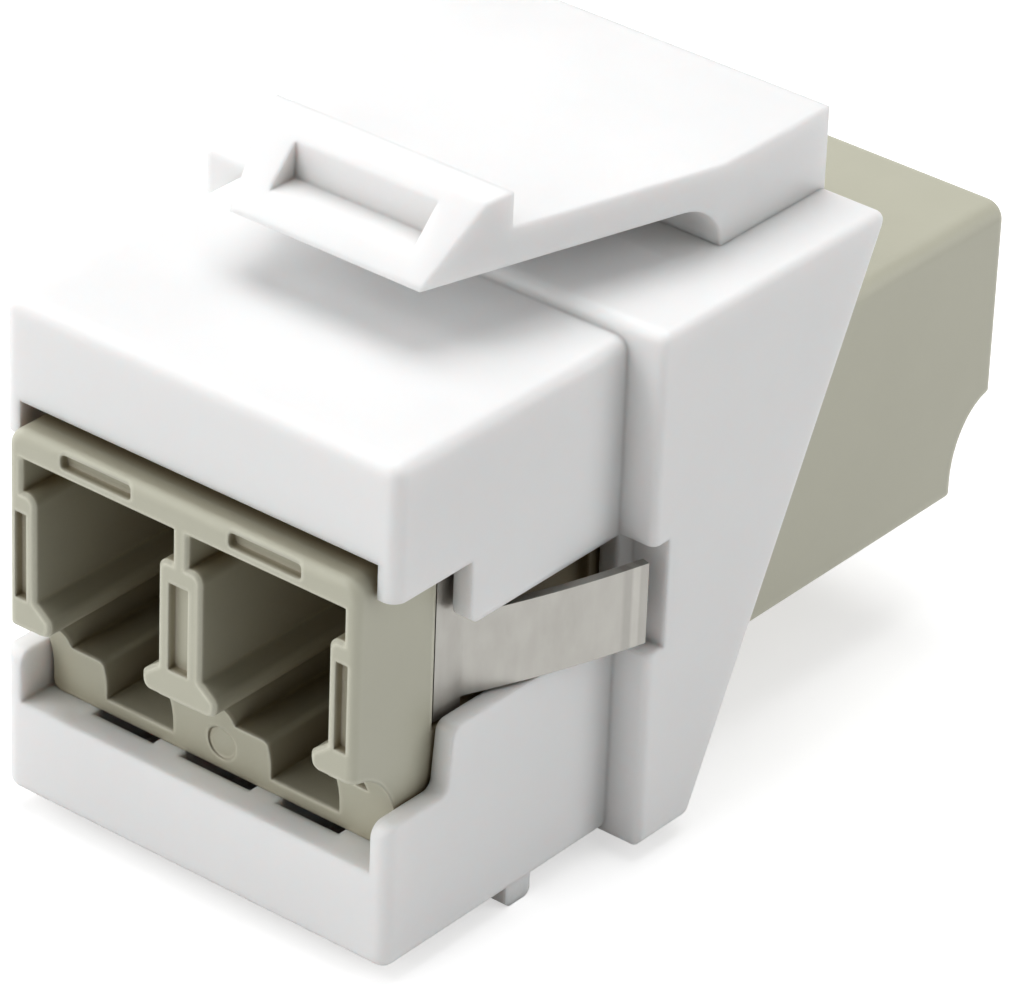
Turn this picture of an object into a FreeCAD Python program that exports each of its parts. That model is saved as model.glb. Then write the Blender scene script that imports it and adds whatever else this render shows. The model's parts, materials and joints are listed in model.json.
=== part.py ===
import FreeCAD, Part
import math
import os

V = FreeCAD.Vector

# A duplex LC fibre adapter held in a snap-in housing for a keystone panel opening, in mm.
# X runs across the two ports, +Y from the user's side back through the panel, +Z up.
# Y = 0 is the plane where the flange meets the panel, Z = 0 the underside of the front block.

# Adapter ports; heights are measured from the optical axis
port_half_width = 2.33          # between the two rails that guide a plug
shoulder_half_width = 2.84      # the mouth is wider above the rails
shoulder_depth = 3.0
port_rise = 2.30                # optical axis to the port's roof
rail_top_rise = 1.25
rail_drop = 2.25                # foot of the rails' flat guide faces
rail_lip_drop = 2.70            # where the rail's lip stands furthest into the port
rail_lip_half_width = 1.75
rail_lip_height = 0.60
wing_half_width = 2.46          # room for the wings of the plug's latch
wing_height = 1.25
key_half_width = 1.275          # channel below, where the plug's latch is pressed
key_height = 1.35
rail_round = 0.35
rail_lip_top_round = 0.25
rail_lip_under_round = 0.38
key_round = 0.18
mouth_chamfer = 0.12

# Adapter walls and length
middle_wall = 0.57
side_wall = 0.51
roof_wall = 0.95
floor_wall = 0.45
adapter_length = 30.2
top_round = 0.60
edge_round = 0.30
undercut_depth = 1.95           # the lower part of each end is set back in a quarter ellipse
undercut_height = 2.50
undercut_base = 0.65

# Details on each end face of the adapter
pad_recess_depth = 0.30
outer_pad_recess_width = 0.43
middle_pad_recess_width = 0.72
pad_recess_height = 2.85
pad_recess_drop = 2.27          # optical axis to the foot of the recess
rim_slot_width = 2.65
rim_slot_height = 0.46
rim_slot_drop = 0.39            # adapter's top to the middle of the slot
rim_slot_depth = 0.30
rim_slot_round = 0.14
pin_mark_radius = 0.53
pin_mark_rise = 0.87            # adapter's base to the middle of the mark
pin_mark_depth = 0.06           # below the set-back face, where that is deepest

# Barrels and alignment sleeves, on each port's optical axis
sleeve_outer_radius = 0.81
sleeve_bore_radius = 0.6245
sleeve_length = 11.4
sleeve_slit = 0.40
sleeve_play = 0.025             # radial clearance in the barrel
sleeve_end_play = 0.05
barrel_wall = 0.665
barrel_lip_length = 0.75
barrel_lip_radius = 0.72
web_thickness = 1.0             # wall that carries the barrels, in each half

# Spring clip: one sheet folded over the front half
clip_thickness = 0.30
clip_play = 0.02
clip_sunk = 0.08                # its outer face lies this far below the adapter's surface
clip_length = 6.60
clip_end_play = 0.15
clip_setback = 3.52             # adapter's front end to the clip's front edge
clip_strip_width = 1.18         # the leg in front of each tongue
clip_corner = 0.60
tongue_fold_radius = 0.60
tongue_fold_angle = 25.0
tongue_length = 5.87
tongue_relax_angle = 10.0       # the tongue curves back by this much along its length
tongue_low_gap = 0.10           # tongue to the lower edge of the housing's window
tongue_high_gap = 0.40
leg_below_tongue = 0.30
clip_cheek_gap = 0.30           # tongue's upper edge to the saddle's cheek

# Housing: front block round the adapter
seat_height = 3.15              # the ribs that the adapter sits on
side_play = 0.125               # adapter to the housing's side walls
hood_play = 0.45                # adapter's top to the hood
tunnel_play = 0.10              # adapter's top to the flange's tunnel
block_wall = 0.65
hood_thickness = 3.20
block_depth = 9.90
adapter_proud = 0.67            # how far the adapter stands ahead of the block
block_round = 0.45

# Housing: windows in the side walls, heights measured from the seat or the hood
front_wall_rise = 1.65
rear_wall_rise = 3.75
wall_step_back = 2.75           # block's front face to the step in the tray wall
wall_step_run = 0.20
skirt_drop = 1.10
tooth_drop = 3.15
tooth_back = 3.30               # block's front face to the tooth
window_round = 0.35
wall_front_round = 0.45

# Housing: channels under the adapter, and the catch on the underside
middle_channel_width = 2.72
outer_channel_width = 2.35
channel_rib = 0.96
channel_depth = 1.95
front_lip = 0.95
catch_back = 5.50               # block's front face to the catch
catch_length = 1.10
catch_drop = 0.55
catch_inset = 0.10
catch_round = 0.25

# Housing: flange that stops against the back of the panel
flange_side = 1.27
flange_rise = 0.50
flange_foot = 2.36
flange_head = 10.53
flange_round = 0.35
flange_edge_round = 0.25
notch_depth = 0.70
notch_low_margin = 0.40
notch_high_margin = 0.05

# Latch: base block on the flange, and the arm that flexes
latch_width = 12.70
latch_rise = 2.60
latch_base_length = 4.90
latch_setback = 0.33
latch_round = 0.35
latch_edge_round = 0.20
arm_thickness = 1.17
arm_root = 1.10                 # latch base's front face to the line where the arm flexes
arm_length = 9.02
arm_tip_width = 6.93
arm_end_play = 0.03
arm_round = 0.15
root_fillet = 1.30
ramp_run = 2.10
ramp_rise = 2.15
ridge_length = 0.83
ridge_slope_rise = 0.12
finger_pocket_width = 5.20
finger_pocket_start = 0.68      # arm's tip to the pocket's lower edge
finger_pocket_depth = 1.09

# Worked out from the sizes above
port_pitch = 2 * shoulder_half_width + middle_wall
adapter_half_width = port_pitch / 2 + shoulder_half_width + side_wall
wing_top_drop = rail_lip_drop + rail_lip_height
wing_floor_drop = wing_top_drop + wing_height
key_floor_drop = wing_floor_drop + key_height
axis_z = seat_height + floor_wall + key_floor_drop
adapter_top = axis_z + port_rise + roof_wall
adapter_front = -block_depth - adapter_proud
adapter_middle = adapter_front + adapter_length / 2
barrel_bore_radius = sleeve_outer_radius + sleeve_play
barrel_end = sleeve_length / 2 + sleeve_end_play + barrel_lip_length
recess_depth = clip_thickness + clip_play + clip_sunk
clip_front = adapter_front + clip_setback
tunnel_half_width = adapter_half_width + side_play
tunnel_top = adapter_top + tunnel_play
hood_underside = adapter_top + hood_play
block_half_width = tunnel_half_width + block_wall
block_top = hood_underside + hood_thickness
flange_half_width = block_half_width + flange_side
flange_top = block_top + flange_rise
window_foot = seat_height + rear_wall_rise
window_head = hood_underside - tooth_drop
channel_floor = seat_height - channel_depth
latch_half_width = latch_width / 2
latch_rear = flange_head - latch_setback
latch_front = latch_rear - latch_base_length
latch_top = flange_top + latch_rise
arm_underside = latch_top - arm_thickness
hinge_y = latch_front - arm_root
hinge_z = latch_top - arm_thickness / 2
arm_tip = hinge_y - arm_length
port_sides = (-1, 1)
overrun = 1.0                   # how far a cutter runs past the face that it opens
tiny = 1e-3


def rounded_face(corners, place):
    """A face whose corners are (a, b) or (a, b, radius); place(a, b) puts a corner in space."""
    spots = [place(corner[0], corner[1]) for corner in corners]
    turns = []
    for i, corner in enumerate(corners):
        here = spots[i]
        radius = corner[2] if len(corner) > 2 else 0
        if radius == 0:
            turns.append((here, None, here))
            continue
        back = (spots[i - 1] - here).normalize()
        ahead = (spots[(i + 1) % len(spots)] - here).normalize()
        half_angle = back.getAngle(ahead) / 2
        reach = radius / math.tan(half_angle)
        inward = V(back + ahead).normalize()
        middle = here + inward * (radius / math.sin(half_angle) - radius)
        turns.append((here + back * reach, middle, here + ahead * reach))
    edges = []
    for i, (start, middle, end) in enumerate(turns):
        if middle is not None:
            edges.append(Part.Arc(start, middle, end).toShape())
        following = turns[(i + 1) % len(turns)][0]
        if end.distanceToPoint(following) > tiny:
            edges.append(Part.makeLine(end, following))
    return Part.Face(Part.Wire(edges))


def prism_x(corners, low, high):
    """Corners are (y, z) or (y, z, radius)."""
    face = rounded_face(corners, lambda y, z: V(low, y, z))
    return face.extrude(V(high - low, 0, 0))


def prism_y(corners, low, high):
    """Corners are (x, z) or (x, z, radius)."""
    face = rounded_face(corners, lambda x, z: V(x, low, z))
    return face.extrude(V(0, high - low, 0))


def prism_z(corners, low, high):
    """Corners are (x, y) or (x, y, radius)."""
    face = rounded_face(corners, lambda x, y: V(x, y, low))
    return face.extrude(V(0, 0, high - low))


def block(x, y, z):
    """A box between the (low, high) pairs x, y and z."""
    return Part.makeBox(x[1] - x[0], y[1] - y[0], z[1] - z[0], V(x[0], y[0], z[0]))


def rod_y(x, z, radius, low, high):
    return Part.makeCylinder(radius, high - low, V(x, low, z), V(0, 1, 0))


def rod_x(y, z, radius, half_length):
    return Part.makeCylinder(radius, 2 * half_length, V(-half_length, y, z), V(1, 0, 0))


def round_edges(shape, radius, wanted):
    return shape.makeFillet(radius, [edge for edge in shape.Edges if wanted(edge.BoundBox)])


def bevel_edges(shape, width, wanted):
    return shape.makeChamfer(width, [edge for edge in shape.Edges if wanted(edge.BoundBox)])


def flat(length):
    return length < tiny


# Adapter


def port_outline(mouth_half_width):
    """One port's section about its optical axis: roof, rails, latch wings and key channel."""
    roof = [(mouth_half_width, port_rise)]
    if mouth_half_width > port_half_width:
        roof += [(mouth_half_width, rail_top_rise), (port_half_width, rail_top_rise, rail_round)]
    right = roof + [
        (port_half_width, -rail_drop),
        (rail_lip_half_width, -rail_lip_drop, rail_lip_top_round),
        (rail_lip_half_width, -wing_top_drop, rail_lip_under_round),
        (wing_half_width, -wing_top_drop),
        (wing_half_width, -wing_floor_drop),
        (key_half_width, -wing_floor_drop, key_round),
        (key_half_width, -key_floor_drop),
    ]
    left = [(-corner[0],) + corner[1:] for corner in reversed(right)]
    return right + left


def port_cut(side, front, rear):
    """A port's cavity from its mouth to the web that carries the barrels."""
    centre = side * port_pitch / 2
    cavity = None
    for half_width, end in ((shoulder_half_width, front + shoulder_depth), (port_half_width, rear)):
        outline = [(centre + c[0], axis_z + c[1]) + c[2:] for c in port_outline(half_width)]
        stretch = prism_y(outline, front - overrun, end)
        cavity = stretch if cavity is None else cavity.fuse(stretch)
    return cavity


def end_undercut(end):
    """Takes the lower part of the end face back in a quarter ellipse, across the full width."""
    reach = adapter_half_width + overrun
    base = seat_height + undercut_base
    middle = V(-reach, end, base)
    ellipse = Part.Ellipse(middle + V(0, 0, undercut_height), middle + V(0, undercut_depth, 0),
                           middle)
    arc = Part.Face(Part.Wire(ellipse.toShape())).extrude(V(2 * reach, 0, 0))
    below = block((-reach, reach), (end - overrun, end + undercut_depth),
                  (seat_height - overrun, base))
    return arc.fuse(below)


def end_face_details(end):
    """Recessed pads beside the ports, slots in the top rim and the moulding's pin mark."""
    low = axis_z - pad_recess_drop
    depth = (end - overrun, end + pad_recess_depth)
    outer_pad = (adapter_half_width + port_pitch / 2 + port_half_width) / 2
    pads = [(0, middle_pad_recess_width), (-outer_pad, outer_pad_recess_width),
            (outer_pad, outer_pad_recess_width)]
    cuts = [block((x - width / 2, x + width / 2), depth, (low, low + pad_recess_height))
            for x, width in pads]
    slot_z = adapter_top - rim_slot_drop
    for side in port_sides:
        x = side * port_pitch / 2
        half = rim_slot_width / 2
        high = rim_slot_height / 2
        corners = [(x - half, slot_z - high, rim_slot_round),
                   (x + half, slot_z - high, rim_slot_round),
                   (x + half, slot_z + high, rim_slot_round),
                   (x - half, slot_z + high, rim_slot_round)]
        cuts.append(prism_y(corners, end - overrun, end + rim_slot_depth))
    mark_face = end + undercut_depth
    cuts.append(rod_y(0, seat_height + pin_mark_rise, pin_mark_radius,
                      mark_face - overrun, mark_face + pin_mark_depth))
    return cuts


def adapter_half():
    """The front half: shell, two ports, the web and its barrels."""
    body = block((-adapter_half_width, adapter_half_width), (adapter_front, adapter_middle),
                 (seat_height, adapter_top))
    body = round_edges(body, top_round, lambda b: flat(b.XLength) and flat(b.ZLength)
                       and b.ZMin > adapter_top - tiny)
    body = round_edges(body, edge_round, lambda b: b.YMax < adapter_front + tiny
                       or (flat(b.XLength) and flat(b.ZLength) and b.ZMax < seat_height + tiny))
    web_face = adapter_middle - web_thickness
    for side in port_sides:
        body = body.cut(port_cut(side, adapter_front, web_face))
    mouth_foot = axis_z - wing_top_drop
    body = bevel_edges(body, mouth_chamfer, lambda b: b.YMax < adapter_front + tiny
                       and max(-b.XMin, b.XMax) < adapter_half_width - side_wall / 2
                       and mouth_foot - tiny < b.ZMin and b.ZMax < axis_z + port_rise + tiny)
    body = body.cut(end_undercut(adapter_front))
    for side in port_sides:
        x = side * port_pitch / 2
        barrel = rod_y(x, axis_z, barrel_bore_radius + barrel_wall,
                       adapter_middle - barrel_end, adapter_middle - web_thickness / 2)
        body = body.fuse(barrel)
        lip_face = adapter_middle - barrel_end + barrel_lip_length
        body = body.cut(rod_y(x, axis_z, barrel_bore_radius, lip_face, adapter_middle + overrun))
        body = body.cut(rod_y(x, axis_z, barrel_lip_radius,
                              adapter_middle - barrel_end - overrun, lip_face + overrun))
    return body.cut(end_face_details(adapter_front))


def clip_recess():
    """The shallow saddle-shaped recess that the clip lies in."""
    foot = window_foot + tongue_low_gap - leg_below_tongue - clip_end_play
    outer = adapter_half_width + overrun
    inner = adapter_half_width - recess_depth
    floor = adapter_top - recess_depth
    above = adapter_top + overrun
    corners = [(-outer, foot), (-inner, foot), (-inner, floor, clip_corner),
               (inner, floor, clip_corner), (inner, foot), (outer, foot), (outer, above),
               (-outer, above)]
    return prism_y(corners, clip_front - clip_end_play, clip_front + clip_length + clip_end_play)


def front_adapter_half():
    return adapter_half().cut(clip_recess())


def rear_adapter_half():
    return adapter_half().mirror(V(0, adapter_middle, 0), V(0, 1, 0))


def alignment_sleeve(side):
    """A split ceramic tube, slit along its top."""
    x = side * port_pitch / 2
    low = adapter_middle - sleeve_length / 2
    high = adapter_middle + sleeve_length / 2
    tube = rod_y(x, axis_z, sleeve_outer_radius, low, high)
    tube = tube.cut(rod_y(x, axis_z, sleeve_bore_radius, low - overrun, high + overrun))
    slit = block((x - sleeve_slit / 2, x + sleeve_slit / 2), (low - overrun, high + overrun),
                 (axis_z, axis_z + sleeve_outer_radius + overrun))
    return tube.cut(slit)


# Spring clip


def saddle_outline(thickness_out, foot):
    """The saddle's section, as corners of its inner or outer outline."""
    half = adapter_half_width - recess_depth + clip_play + thickness_out
    top = adapter_top - recess_depth + clip_play + thickness_out
    corner = clip_corner + thickness_out
    return [(-half, foot), (-half, top, corner), (half, top, corner), (half, foot)]


def folded_saddle(foot, front, rear):
    outer = prism_y(saddle_outline(clip_thickness, foot), front, rear)
    inner = prism_y(saddle_outline(0, foot - overrun), front - overrun, rear + overrun)
    return outer.cut(inner)


def square_to(centre, radius, angle):
    """The point at a radius from the centre, square to a sheet that heads angle degrees off +Y."""
    turn = math.radians(angle)
    return centre + V(-math.cos(turn), math.sin(turn), 0) * radius


def bend(centre, radius, first_angle, last_angle):
    stops = (first_angle, (first_angle + last_angle) / 2, last_angle)
    return Part.Arc(*[square_to(centre, radius, angle) for angle in stops]).toShape()


def clip_tongue():
    """The right tongue: it folds out from the leg, then relaxes along a long shallow curve."""
    outer_x = adapter_half_width - recess_depth + clip_play + clip_thickness
    low = window_foot + tongue_low_gap
    high = window_head - tongue_high_gap
    tip_angle = tongue_fold_angle - tongue_relax_angle
    blade_radius = tongue_length / math.radians(tongue_relax_angle)
    fold_centre = V(outer_x + tongue_fold_radius, clip_front + clip_strip_width, low)
    fold_end = square_to(fold_centre, tongue_fold_radius, tongue_fold_angle)
    blade_centre = square_to(fold_end, blade_radius, tongue_fold_angle)
    faces = []
    for depth in (0, clip_thickness):
        faces.append((bend(fold_centre, tongue_fold_radius + depth, 0, tongue_fold_angle),
                      bend(blade_centre, depth - blade_radius, tongue_fold_angle, tip_angle)))
    outer, inner = faces
    tip = Part.makeLine(outer[1].lastVertex().Point, inner[1].lastVertex().Point)
    start = Part.makeLine(inner[0].firstVertex().Point, outer[0].firstVertex().Point)
    wire = Part.Wire([outer[0], outer[1], tip, inner[1], inner[0], start])
    return Part.Face(wire).extrude(V(0, 0, high - low))


def spring_clip():
    """A saddle over the adapter with a leg down each side, and a tongue folded out of each leg."""
    strip_rear = clip_front + clip_strip_width
    tongue_foot = window_foot + tongue_low_gap
    cheek_foot = window_head - tongue_high_gap + clip_cheek_gap
    saddle = folded_saddle(cheek_foot, clip_front, clip_front + clip_length)
    legs = folded_saddle(tongue_foot - leg_below_tongue, clip_front, strip_rear)
    tongue = clip_tongue()
    other_tongue = tongue.mirror(V(0, 0, 0), V(1, 0, 0))
    return saddle.fuse([legs, tongue, other_tongue]).removeSplitter()


# Housing


def front_block():
    shape = block((-block_half_width, block_half_width), (-block_depth, overrun),
                  (0, block_top))
    return round_edges(shape, block_round, lambda b: b.YMax < -block_depth + tiny
                       or (flat(b.XLength) and flat(b.ZLength)))


def flange():
    """The wedge behind the panel: upright front face, sloping back."""
    corners = [(0, 0), (flange_foot, 0, flange_round), (flange_head, flange_top, flange_round),
               (0, flange_top, flange_round)]
    shape = prism_x(corners, -flange_half_width, flange_half_width)
    return round_edges(shape, flange_edge_round, lambda b: flat(b.XLength)
                       and (b.ZLength > flange_round or b.YLength > flange_round))


def latch_plan(low, high):
    """The latch seen from above: a square base, and an arm that narrows towards its tip."""
    right = [(arm_tip_width / 2, arm_tip, arm_round), (latch_half_width, latch_front),
             (latch_half_width, latch_rear, latch_round)]
    left = [(-corner[0],) + corner[1:] for corner in reversed(right)]
    return prism_z(right + left, low, high)


def latch_base():
    """The block that carries the arm, with a seat where the arm's round root flexes."""
    reach = latch_half_width + overrun
    below = flange_top - flange_rise
    corners = [(latch_rear, below), (latch_rear, latch_top, latch_round),
               (hinge_y - overrun, latch_top), (hinge_y - overrun, arm_underside),
               (latch_front, arm_underside, root_fillet), (latch_front, below)]
    shape = prism_x(corners, -reach, reach).common(latch_plan(below, latch_top))
    shape = round_edges(shape, latch_edge_round, lambda b: b.ZMin > latch_top - tiny
                        and flat(b.ZLength) and b.YLength > latch_base_length / 2)
    seat_radius = arm_thickness / 2 + arm_end_play
    seat_lip = math.sqrt(seat_radius ** 2 - (arm_thickness / 2) ** 2)
    shape = shape.cut(rod_x(hinge_y, hinge_z, seat_radius, reach))
    ahead = block((-reach, reach), (hinge_y - 2 * overrun, hinge_y + seat_lip),
                  (below, latch_top + overrun))
    return shape.cut(ahead)


def latch_arm():
    """The thumb arm: flat plate, ramp with a finger pocket, ridge, and its round root."""
    reach = latch_half_width + overrun
    half = arm_thickness / 2
    ramp_top = arm_underside + ramp_rise
    ridge_y = arm_tip + ramp_run + ridge_length
    corners = [(arm_tip, arm_underside, arm_round),
               (arm_tip + ramp_run, ramp_top, arm_round),
               (ridge_y, ramp_top + ridge_slope_rise, arm_round),
               (ridge_y, latch_top),
               (hinge_y + half, latch_top, half),
               (hinge_y + half, arm_underside, half)]
    shape = prism_x(corners, -reach, reach)
    shape = shape.common(latch_plan(arm_underside - overrun, ramp_top + overrun))
    pocket_y = arm_tip + finger_pocket_start
    pocket_floor = arm_underside + finger_pocket_start * ramp_rise / ramp_run
    pocket = block((-finger_pocket_width / 2, finger_pocket_width / 2),
                   (pocket_y - overrun, pocket_y + finger_pocket_depth),
                   (pocket_floor, ramp_top + overrun))
    return shape.cut(pocket)


def catch():
    """The ridge on the underside that hooks behind the panel's lower edge."""
    front = -block_depth + catch_back
    half = block_half_width - catch_inset
    corners = [(front, block_round), (front, -catch_drop, catch_round),
               (front + catch_length, -catch_drop, catch_round),
               (front + catch_length, block_round)]
    return prism_x(corners, -half, half)


def side_windows():
    """Opens both side walls between the tray and the hood, up to the flange."""
    front = -block_depth
    low = seat_height + front_wall_rise
    skirt = hood_underside - skirt_drop
    step = front + wall_step_back
    tooth = front + tooth_back
    reach = block_half_width + overrun
    corners = [(front - overrun, low - wall_front_round), (front, low - wall_front_round),
               (front, low, wall_front_round), (step - wall_step_run, low, window_round),
               (step, window_foot, window_round), (0, window_foot), (0, window_head),
               (tooth, window_head, window_round), (tooth, skirt), (front - overrun, skirt)]
    return prism_x(corners, -reach, reach)


def tunnel():
    """The passage for the adapter: loose under the hood, close in the flange."""
    half = tunnel_half_width
    rear = flange_head + overrun
    front_part = block((-half, half), (-block_depth - overrun, 0), (seat_height, hood_underside))
    rear_part = block((-half, half), (-overrun, rear), (seat_height, tunnel_top))
    return front_part.fuse(rear_part)


def under_channels():
    """Channels between the ribs that the adapter sits on, open towards the back."""
    middle = middle_channel_width / 2
    outer = middle + channel_rib
    spans = [(-middle, middle), (outer, outer + outer_channel_width),
             (-outer - outer_channel_width, -outer)]
    return [block(span, (-block_depth + front_lip, flange_head + overrun),
                  (channel_floor, seat_height + overrun)) for span in spans]


def flange_notches():
    """Clearance in the flange's front face for the tips of the clip's tongues."""
    low = window_foot - notch_low_margin
    high = window_head + notch_high_margin
    right = block((block_half_width, flange_half_width + overrun), (-overrun, notch_depth),
                  (low, high))
    return [right, right.mirror(V(0, 0, 0), V(1, 0, 0))]


def keystone_housing():
    shape = front_block().fuse([flange(), latch_base(), catch()])
    return shape.cut([tunnel(), side_windows()] + under_channels() + flange_notches())


nodes = {
    "keystone_housing": keystone_housing(),
    "latch_arm": latch_arm(),
    "adapter_front_half": front_adapter_half(),
    "adapter_rear_half": rear_adapter_half(),
    "left_alignment_sleeve": alignment_sleeve(-1),
    "right_alignment_sleeve": alignment_sleeve(1),
    "spring_clip": spring_clip(),
}

os.makedirs("parts", exist_ok=True)
for name, shape in nodes.items():
    if not shape.isValid() or len(shape.Solids) != 1:
        raise RuntimeError(name + " is not one valid solid")
    shape.Solids[0].exportStep("parts/" + name + ".step")
    box = shape.BoundBox
    print(name, "volume", round(shape.Volume, 2), "mm3, box", round(box.XLength, 2),
          round(box.YLength, 2), round(box.ZLength, 2))
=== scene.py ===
import json
import math
import bmesh
import bpy
from mathutils import Matrix, Vector


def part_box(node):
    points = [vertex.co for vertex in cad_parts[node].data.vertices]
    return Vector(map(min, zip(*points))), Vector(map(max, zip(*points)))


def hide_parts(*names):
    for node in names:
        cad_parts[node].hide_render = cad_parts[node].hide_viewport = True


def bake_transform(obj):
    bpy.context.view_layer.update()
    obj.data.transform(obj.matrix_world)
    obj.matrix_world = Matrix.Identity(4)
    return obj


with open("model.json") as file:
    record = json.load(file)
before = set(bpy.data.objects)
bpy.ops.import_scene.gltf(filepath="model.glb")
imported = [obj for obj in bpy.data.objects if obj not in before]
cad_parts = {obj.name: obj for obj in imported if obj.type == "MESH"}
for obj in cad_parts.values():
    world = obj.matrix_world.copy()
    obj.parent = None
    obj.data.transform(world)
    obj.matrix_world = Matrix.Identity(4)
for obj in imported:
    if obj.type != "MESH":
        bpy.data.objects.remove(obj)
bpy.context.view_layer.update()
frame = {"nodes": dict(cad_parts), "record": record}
mm = 0.001
nodes = frame["nodes"]
scene = bpy.context.scene
scene.view_settings.view_transform = "Standard"
print("frame loaded")


# camera, far off with a long lens
camera = {
    "place": (104.25 * mm, -128.91 * mm, 106.52 * mm),
    "azimuth": 38.05,
    "elevation": 30.557,
    "roll": 2.309,
    "lens": 233.64,
    "sensor": 36,
    "nearest": 10 * mm,
    "farthest": 5,
}


def makeCamera():
    data = bpy.data.cameras.new("camera")
    data.lens = camera["lens"]
    data.sensor_width = camera["sensor"]
    data.clip_start = camera["nearest"]
    data.clip_end = camera["farthest"]
    rig = bpy.data.objects.new("camera", data)
    scene.collection.objects.link(rig)
    azimuth = math.radians(camera["azimuth"])
    elevation = math.radians(camera["elevation"])
    roll = math.radians(camera["roll"])
    ahead = Vector((-math.sin(azimuth) * math.cos(elevation),
                    math.cos(azimuth) * math.cos(elevation), -math.sin(elevation)))
    right = ahead.cross(Vector((0, 0, 1))).normalized()
    up = right.cross(ahead)
    tiltedRight = right * math.cos(roll) + up * math.sin(roll)
    tiltedUp = up * math.cos(roll) - right * math.sin(roll)
    turn = rig.matrix_world.to_3x3()
    turn.col[0], turn.col[1], turn.col[2] = tiltedRight, tiltedUp, -ahead
    rig.matrix_world = turn.to_4x4()
    rig.location = camera["place"]
    scene.camera = rig


makeCamera()
print("camera placed")


# node helpers shared by all finishes
def addNode(tree, kind, x=0, y=0, **values):
    node = tree.nodes.new(kind)
    node.location = (x, y)
    for name, value in values.items():
        setattr(node, name, value)
    return node


def newFinish(name):
    finish = bpy.data.materials.new(name)
    finish.use_nodes = True
    tree = finish.node_tree
    tree.nodes.clear()
    output = addNode(tree, "ShaderNodeOutputMaterial", 900, 0)
    shader = addNode(tree, "ShaderNodeBsdfPrincipled", 600, 0)
    tree.links.new(shader.outputs["BSDF"], output.inputs["Surface"])
    return finish, tree, shader


def noiseAt(tree, scale, detail, x, y, stretch=(1, 1, 1)):
    place = addNode(tree, "ShaderNodeTexCoord", x - 400, y)
    mapping = addNode(tree, "ShaderNodeMapping", x - 200, y)
    mapping.inputs["Scale"].default_value = stretch
    noise = addNode(tree, "ShaderNodeTexNoise", x, y)
    noise.inputs["Scale"].default_value = scale
    noise.inputs["Detail"].default_value = detail
    tree.links.new(place.outputs["Object"], mapping.inputs["Vector"])
    tree.links.new(mapping.outputs["Vector"], noise.inputs["Vector"])
    return noise.outputs["Fac"]


def rampBetween(tree, fac, low, high, x, y, start=0.3, end=0.7):
    ramp = addNode(tree, "ShaderNodeValToRGB", x, y)
    ramp.color_ramp.elements[0].position = start
    ramp.color_ramp.elements[0].color = (*low, 1)
    ramp.color_ramp.elements[1].position = end
    ramp.color_ramp.elements[1].color = (*high, 1)
    tree.links.new(fac, ramp.inputs["Fac"])
    return ramp.outputs["Color"]


def spread(tree, fac, low, high, x, y):
    node = addNode(tree, "ShaderNodeMapRange", x, y)
    node.inputs["To Min"].default_value = low
    node.inputs["To Max"].default_value = high
    tree.links.new(fac, node.inputs["Value"])
    return node.outputs["Result"]


def bumpOver(tree, height, strength, distance, x, y, normal=None):
    bump = addNode(tree, "ShaderNodeBump", x, y)
    bump.inputs["Strength"].default_value = strength
    bump.inputs["Distance"].default_value = distance
    tree.links.new(height, bump.inputs["Height"])
    if normal is not None:
        tree.links.new(normal, bump.inputs["Normal"])
    return bump.outputs["Normal"]


def mixColours(tree, factor, first, second, x, y, blend="MIX"):
    mixed = addNode(tree, "ShaderNodeMix", x, y, data_type="RGBA", blend_type=blend)
    for socket, value in zip((mixed.inputs["Factor"], mixed.inputs[6], mixed.inputs[7]),
                             (factor, first, second)):
        if isinstance(value, bpy.types.NodeSocket):
            tree.links.new(value, socket)
        else:
            socket.default_value = value
    return mixed.outputs[2]


# rays sent out at each point: more are smoother and slower
shadingRays = {"edge": 4, "hollowShade": 3}


def softEdge(tree, radius, x, y):
    bevel = addNode(tree, "ShaderNodeBevel", x, y, samples=shadingRays["edge"])
    bevel.inputs["Radius"].default_value = radius
    return bevel.outputs["Normal"]


# painted shade: the colour darkens towards the shade tone where a surface lies deep inside a
# hollow, standing in for the shade and warm bounced light there
def paintHollowShade(tree, colour, hollowShade, x, y):
    openness = addNode(tree, "ShaderNodeAmbientOcclusion", x, y, samples=shadingRays["hollowShade"])
    openness.inputs["Distance"].default_value = hollowShade["reach"]
    deep = addNode(tree, "ShaderNodeMapRange", x + 180, y)
    deep.inputs["From Min"].default_value = hollowShade["span"][0]
    deep.inputs["From Max"].default_value = hollowShade["span"][1]
    deep.inputs["To Min"].default_value = 1
    deep.inputs["To Max"].default_value = 0
    tree.links.new(openness.outputs["AO"], deep.inputs["Value"])
    return mixColours(tree, deep.outputs["Result"], colour, (*hollowShade["shadeTone"], 1), x + 360, y,
                      "MULTIPLY")


# painted highlight: rounded edges get a paler colour, standing in for the bright edge highlights
# and the light shining through thin edges
def paintEdgeHighlight(tree, colour, edge, rim, x, y):
    plain = addNode(tree, "ShaderNodeNewGeometry", x, y)
    match = addNode(tree, "ShaderNodeVectorMath", x + 180, y, operation="DOT_PRODUCT")
    tree.links.new(plain.outputs["Normal"], match.inputs[0])
    tree.links.new(edge, match.inputs[1])
    bent = addNode(tree, "ShaderNodeMapRange", x + 360, y)
    bent.inputs["From Min"].default_value = 1
    bent.inputs["From Max"].default_value = rim["match"]   # how far the rounded edge turns
    tree.links.new(match.outputs["Value"], bent.inputs["Value"])
    return mixColours(tree, bent.outputs["Result"], colour, (*rim["colour"], 1), x + 540, y)


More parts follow.
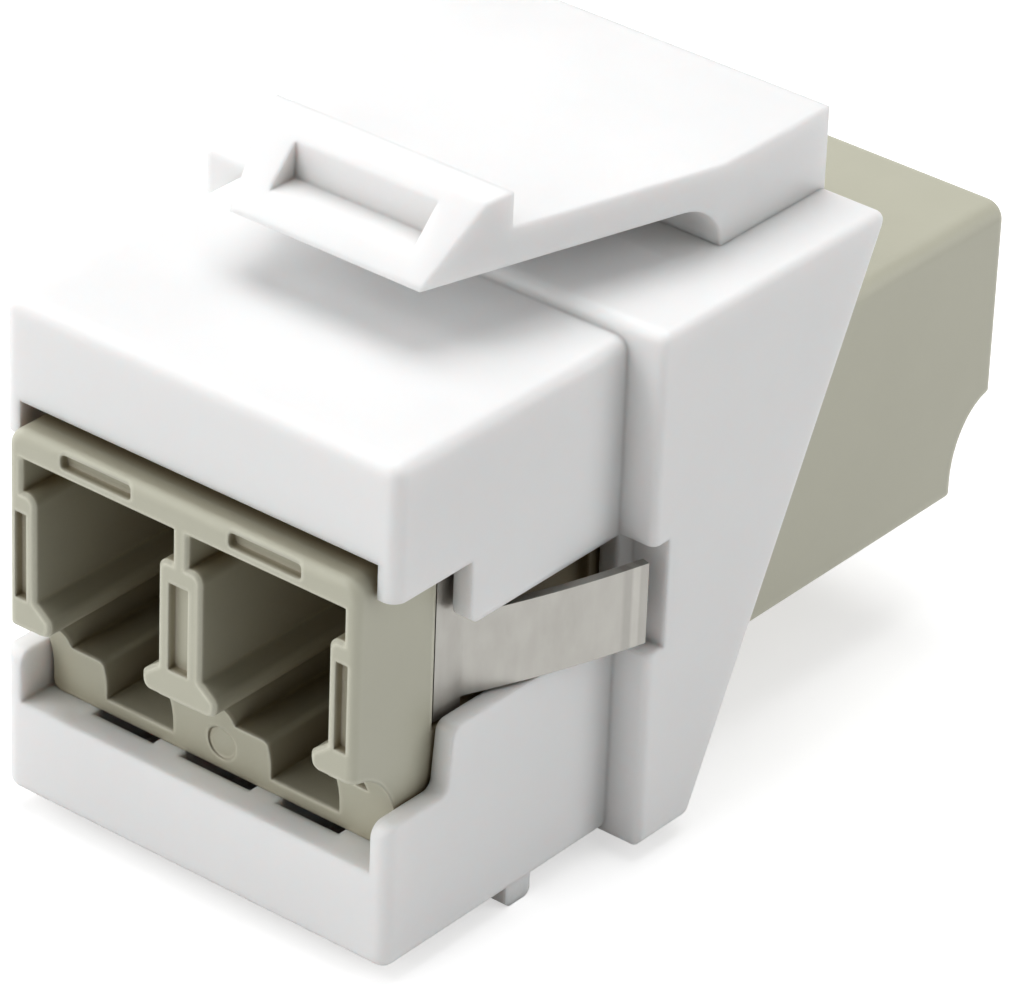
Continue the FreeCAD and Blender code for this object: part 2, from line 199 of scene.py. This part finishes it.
# moulded plastics: what both share, then each one's own look
moulding = {
    "cloudScale": 180,
    "cloudDetail": 3,
    "grainScale": 5200,
    "grainDetail": 4,
    "grainStrength": 0.25,
    "lightBend": 1.46,
}
whitePlastic = {
    "light": (0.86, 0.86, 0.86),
    "dark": (0.835, 0.835, 0.835),
    "roughness": (0.36, 0.46),
    "edge": 0.24 * mm,
    "grain": 0.006 * mm,
    "bleed": (0.56 * mm, 0.48 * mm, 0.46 * mm),
    # painted shade in hollows, towards this tone
    "hollowShade": {"reach": 1.6 * mm, "span": (0.10, 0.62), "shadeTone": (0.54, 0.51, 0.475)},
}
beigePlastic = {
    "light": (0.485, 0.477, 0.378),
    "dark": (0.455, 0.447, 0.351),
    "roughness": (0.32, 0.44),
    "edge": 0.20 * mm,
    "grain": 0.008 * mm,
    # painted highlight: paler colour on rounded edges
    "rim": {"colour": (0.74, 0.73, 0.60), "match": 0.93},
    # painted shade in hollows, towards this warm dark tone
    "hollowShade": {"reach": 6.0 * mm, "span": (0.08, 0.60), "shadeTone": (0.34, 0.235, 0.11)},
}


def makePlastic(name, look):
    finish, tree, shader = newFinish(name)
    cloud = noiseAt(tree, moulding["cloudScale"], moulding["cloudDetail"], -600, 200)
    grain = noiseAt(tree, moulding["grainScale"], moulding["grainDetail"], -600, -300)
    colour = rampBetween(tree, cloud, look["dark"], look["light"], -200, 200)
    edge = softEdge(tree, look["edge"], -200, -500)
    # painted highlight: paler colour on rounded edges
    if "rim" in look:
        colour = paintEdgeHighlight(tree, colour, edge, look["rim"], 0, 700)
    # painted shade: darker, warmer colour deep in hollows
    colour = paintHollowShade(tree, colour, look["hollowShade"], 0, 400)
    if "bleed" in look:
        shader.inputs["Subsurface Weight"].default_value = 1
        shader.inputs["Subsurface Scale"].default_value = 1
        shader.inputs["Subsurface Radius"].default_value = look["bleed"]
    tree.links.new(colour, shader.inputs["Base Color"])
    tree.links.new(spread(tree, cloud, *look["roughness"], -200, 0), shader.inputs["Roughness"])
    normal = bumpOver(tree, grain, moulding["grainStrength"], look["grain"], 200, -300, edge)
    tree.links.new(normal, shader.inputs["Normal"])
    shader.inputs["IOR"].default_value = moulding["lightBend"]
    return finish


springSteel = {
    "light": (0.385, 0.375, 0.348),
    "dark": (0.335, 0.325, 0.30),
    "roughness": (0.34, 0.44),
    "mottle": (1500, 5, (1, 1, 0.45)),   # scale, detail, stretch
    "brush": (900, 3, (1, 1, 14)),
    "brushStrength": 0.2,
    "brushDepth": 0.01 * mm,
    "bendShade": {   # painted shade and highlight: darker and paler bands before the tongues' tips, standing in for light across their bend
        "from": -1.35 * mm,
        "to": -0.35 * mm,
        "tones": ((0.35, 1.0), (0.48, 0.87), (0.66, 0.87), (0.76, 1.10), (0.93, 1.10),
                  (1.0, 0.92)),
    },
}


# painted shade and highlight: darker and paler bands across the sheet, from one place along it to
# another
def paintBendShade(tree, colour, bendShade, x, y):
    place = addNode(tree, "ShaderNodeTexCoord", x, y)
    axes = addNode(tree, "ShaderNodeSeparateXYZ", x + 180, y)
    tree.links.new(place.outputs["Object"], axes.inputs[0])
    along = addNode(tree, "ShaderNodeMapRange", x + 360, y)
    along.inputs["From Min"].default_value = bendShade["from"]
    along.inputs["From Max"].default_value = bendShade["to"]
    tree.links.new(axes.outputs["Y"], along.inputs["Value"])
    bands = addNode(tree, "ShaderNodeValToRGB", x + 540, y)
    stops = bands.color_ramp.elements
    stops.remove(stops[1])
    stops[0].color = (1, 1, 1, 1)
    for spot, tone in bendShade["tones"]:
        stops.new(spot).color = (tone, tone, tone, 1)
    tree.links.new(along.outputs["Result"], bands.inputs["Fac"])
    return mixColours(tree, 1, colour, bands.outputs["Color"], x + 720, y, "MULTIPLY")


def makeSteel():
    finish, tree, shader = newFinish("springSteel")
    scale, detail, stretch = springSteel["mottle"]
    mottle = noiseAt(tree, scale, detail, -600, 200, stretch)
    scale, detail, stretch = springSteel["brush"]
    brush = noiseAt(tree, scale, detail, -600, -300, stretch)
    colour = rampBetween(tree, mottle, springSteel["dark"], springSteel["light"], -200, 200)
    # painted shade and highlight across the bend before the tongues' tips
    colour = paintBendShade(tree, colour, springSteel["bendShade"], -200, 500)
    tree.links.new(colour, shader.inputs["Base Color"])
    rough = spread(tree, mottle, *springSteel["roughness"], -200, 0)
    tree.links.new(rough, shader.inputs["Roughness"])
    normal = bumpOver(tree, brush, springSteel["brushStrength"], springSteel["brushDepth"],
                      200, -300)
    tree.links.new(normal, shader.inputs["Normal"])
    shader.inputs["Metallic"].default_value = 1
    return finish


zirconia = {
    "light": (0.88, 0.87, 0.84),
    "dark": (0.82, 0.81, 0.78),
    "roughness": (0.10, 0.18),
    "cloudScale": 900,
    "cloudDetail": 2,
}


def makeZirconia():
    finish, tree, shader = newFinish("zirconia")
    cloud = noiseAt(tree, zirconia["cloudScale"], zirconia["cloudDetail"], -600, 200)
    colour = rampBetween(tree, cloud, zirconia["dark"], zirconia["light"], -200, 200)
    tree.links.new(colour, shader.inputs["Base Color"])
    tree.links.new(spread(tree, cloud, *zirconia["roughness"], -200, 0), shader.inputs["Roughness"])
    return finish


finishes = {
    "white_plastic": makePlastic("whitePlastic", whitePlastic),
    "beige_plastic": makePlastic("beigePlastic", beigePlastic),
    "spring_steel": makeSteel(),
    "zirconia": makeZirconia(),
}
for part in frame["record"]["subparts"]:
    mesh = nodes[part["node"]].data
    mesh.materials.clear()
    mesh.materials.append(finishes[part["material_slot"]])
print("finishes applied")


# latch, moulded in one with the housing, in mm: its arm bends at the root, so one skin covers
# arm and base
latch = {
    "cover": 0.015,
    "tipHalf": 3.465,
    "baseHalf": 6.35,
    "baseFront": 5.30,
    "baseRear": 10.20,
    "top": 19.50,
    "foot": 16.60,
    "rampRun": 2.10,
    "rampRise": 2.15,
    "ridgeRun": 0.83,
    "ridgeRise": 0.12,
    "rootFillet": 1.30,
    "filletSteps": 10,
    "edge": 0.17,
    "edgeSteps": 4,
    "edgeAngle": 0.5,      # radians: outer corners sharper than this are rounded
    "smoothAngle": 32,     # degrees
    "pocketHalf": 2.60,
    "pocketStart": 0.68,
    "pocketRun": 1.09,
    "pocketFront": 0.3,    # how far the cutting block stands out in front and above
    "pocketAbove": 1,
    "bendFrom": 4.36,
    "bendTo": 2.40,
    "bendCuts": 14,
    "cutSlack": 1e-5,      # points this near a cut lie on it
}


# corners of the latch's side view as (y, z) in mm, from the foot's rear up and round
def latchSide():
    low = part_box("latch_arm")[0] / mm
    tip, under = low.y, low.z
    front = latch["baseFront"]
    fillet = latch["rootFillet"]
    crest = (tip + latch["rampRun"], under + latch["rampRise"])
    ridge = (crest[0] + latch["ridgeRun"], crest[1] + latch["ridgeRise"])
    side = [(latch["baseRear"], latch["foot"]), (latch["baseRear"], latch["top"]),
            (ridge[0], latch["top"]), ridge, crest, (tip, under)]
    for step in range(latch["filletSteps"] + 1):
        turn = math.radians(90 * step / latch["filletSteps"])
        side.append((front - fillet + fillet * math.sin(turn),
                     under - fillet + fillet * math.cos(turn)))
    return side + [(front, latch["foot"])]


def latchHalf(y):
    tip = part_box("latch_arm")[0].y / mm
    along = min(1, (y - tip) / (latch["baseFront"] - tip))
    return latch["tipHalf"] + (latch["baseHalf"] - latch["tipHalf"]) * along


# a plain block between two corners in mm
def blockBetween(name, low, high):
    mesh = bpy.data.meshes.new(name)
    built = bmesh.new()
    bmesh.ops.create_cube(built, size=1)
    for point in built.verts:
        point.co = Vector([(low[i] + high[i]) / 2 + point.co[i] * (high[i] - low[i])
                           for i in range(3)])
    built.to_mesh(mesh)
    built.free()
    block = bpy.data.objects.new(name, mesh)
    scene.collection.objects.link(block)
    return block


# takes the tool's shape out of the piece and removes the tool
def cutAway(piece, tool):
    cut = piece.modifiers.new("cut", "BOOLEAN")
    cut.operation = "DIFFERENCE"
    cut.object = tool
    cut.solver = "EXACT"
    state = bpy.context.evaluated_depsgraph_get()
    shaped = bpy.data.meshes.new_from_object(piece.evaluated_get(state))
    piece.modifiers.remove(cut)
    piece.data = shaped
    bpy.data.objects.remove(tool)


def makeLatchSkin():
    built = bmesh.new()
    side = built.faces.new([built.verts.new((-1, y, z)) for y, z in latchSide()])
    pushed = bmesh.ops.extrude_face_region(built, geom=[side])
    for point in pushed["geom"]:
        if isinstance(point, bmesh.types.BMVert):
            point.co.x = 1
    span = (latch["bendFrom"] - latch["bendTo"]) / latch["bendCuts"]
    cuts = [latch["bendTo"] + span * i for i in range(latch["bendCuts"] + 1)]
    for y in cuts + [latch["baseFront"]]:
        bmesh.ops.bisect_plane(built, geom=built.verts[:] + built.edges[:] + built.faces[:],
                               plane_co=(0, y, 0), plane_no=(0, 1, 0), dist=latch["cutSlack"])
    bmesh.ops.recalc_face_normals(built, faces=built.faces)
    for point in built.verts:
        point.co.x *= latchHalf(point.co.y)
    built.normal_update()
    ridges = [edge for edge in built.edges
              if edge.is_convex and edge.calc_face_angle() > latch["edgeAngle"]]
    bmesh.ops.bevel(built, geom=ridges, offset=latch["edge"], segments=latch["edgeSteps"],
                    profile=0.5, affect="EDGES", clamp_overlap=True)
    built.normal_update()
    for point in built.verts:
        point.co += point.normal * latch["cover"]
    mesh = bpy.data.meshes.new("latchSkin")
    built.to_mesh(mesh)
    built.free()
    skin = bpy.data.objects.new("latchSkin", mesh)
    scene.collection.objects.link(skin)
    low, high = [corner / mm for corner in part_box("latch_arm")]
    start = low.y + latch["pocketStart"]
    floor = low.z + latch["pocketStart"] * latch["rampRise"] / latch["rampRun"]
    half = latch["pocketHalf"]
    near = (-half, start - latch["pocketFront"], floor)
    far = (half, start + latch["pocketRun"], high.z + latch["pocketAbove"])
    cutAway(skin, blockBetween("pocket", near, far))
    skin.data.transform(Matrix.Scale(mm, 4))
    skin.data.shade_smooth()
    skin.data.set_sharp_from_angle(angle=math.radians(latch["smoothAngle"]))
    skin.data.materials.clear()
    skin.data.materials.append(finishes["white_plastic"])
    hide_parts("latch_arm")
    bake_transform(skin)


makeLatchSkin()
print("latch skin made")


# floor and light
studio = {
    "floorDrop": 0.56 * mm,
    "floorSize": 0.8,
    "floorTone": 0.80,
    "floorGlow": 0.55,
    "skyStrength": 0.03,
    "whiteStrength": 1,    # what the camera and glossy surfaces see beyond the floor
    "lampsAim": (0, 3 * mm, 8 * mm),
}
lamps = {
    # name: place in mm, size in mm, power in W
    "top": ((-40, 60, 260), 220, 0.56),
    "frontHigh": ((-160, -180, 240), 150, 0.26),
    "front": ((-60, -280, 90), 180, 0.30),
    "rightHigh": ((180, 20, 240), 160, 0.10),
    "backRight": ((240, 180, 90), 160, 0.25),
    "left": ((-280, -40, 110), 160, 0.22),
}


# one for rays from the camera, straight or by way of a gloss or a clear piece, else nought
def seenRays(tree, x, y):
    path = addNode(tree, "ShaderNodeLightPath", x - 400, y)
    total = path.outputs["Is Camera Ray"]
    for step, kind in enumerate(("Is Glossy Ray", "Is Transmission Ray")):
        both = addNode(tree, "ShaderNodeMath", x - 200 + 200 * step, y, operation="MAXIMUM")
        tree.links.new(total, both.inputs[0])
        tree.links.new(path.outputs[kind], both.inputs[1])
        total = both.outputs[0]
    return total


def makeFloor():
    bpy.ops.mesh.primitive_plane_add(size=studio["floorSize"],
                                     location=(0, 0, -studio["floorDrop"]))
    floor = bpy.context.object
    floor.name = "floor"
    finish = bpy.data.materials.new("floorPaper")
    finish.use_nodes = True
    tree = finish.node_tree
    tree.nodes.clear()
    output = addNode(tree, "ShaderNodeOutputMaterial", 900, 0)
    paper = addNode(tree, "ShaderNodeBsdfDiffuse", 0, 0)
    paper.inputs["Color"].default_value = (*[studio["floorTone"]] * 3, 1)
    glow = addNode(tree, "ShaderNodeEmission", 0, -200)
    glow.inputs["Strength"].default_value = studio["floorGlow"]
    both = addNode(tree, "ShaderNodeAddShader", 300, -100)
    tree.links.new(paper.outputs[0], both.inputs[0])
    tree.links.new(glow.outputs[0], both.inputs[1])
    pick = addNode(tree, "ShaderNodeMixShader", 600, 0)
    tree.links.new(seenRays(tree, 0, 300), pick.inputs["Fac"])
    tree.links.new(paper.outputs[0], pick.inputs[1])
    tree.links.new(both.outputs[0], pick.inputs[2])
    tree.links.new(pick.outputs[0], output.inputs["Surface"])
    floor.data.materials.append(finish)


def makeWorld():
    world = bpy.data.worlds.new("studio")
    world.use_nodes = True
    tree = world.node_tree
    tree.nodes.clear()
    output = addNode(tree, "ShaderNodeOutputWorld", 600, 0)
    sky = addNode(tree, "ShaderNodeBackground", 0, 0)
    sky.inputs["Strength"].default_value = studio["skyStrength"]
    white = addNode(tree, "ShaderNodeBackground", 0, -200)
    white.inputs["Strength"].default_value = studio["whiteStrength"]
    pick = addNode(tree, "ShaderNodeMixShader", 300, 0)
    tree.links.new(seenRays(tree, 0, 300), pick.inputs["Fac"])
    tree.links.new(sky.outputs[0], pick.inputs[1])
    tree.links.new(white.outputs[0], pick.inputs[2])
    tree.links.new(pick.outputs[0], output.inputs["Surface"])
    scene.world = world


def makeLamps():
    aim = Vector(studio["lampsAim"])
    for name, (place, size, power) in lamps.items():
        data = bpy.data.lights.new(name, "AREA")
        data.size = size * mm
        data.energy = power
        lamp = bpy.data.objects.new(name, data)
        lamp.location = Vector(place) * mm
        lamp.rotation_euler = (aim - lamp.location).to_track_quat("-Z", "Y").to_euler()
        scene.collection.objects.link(lamp)


makeFloor()
makeWorld()
makeLamps()
print("studio ready")
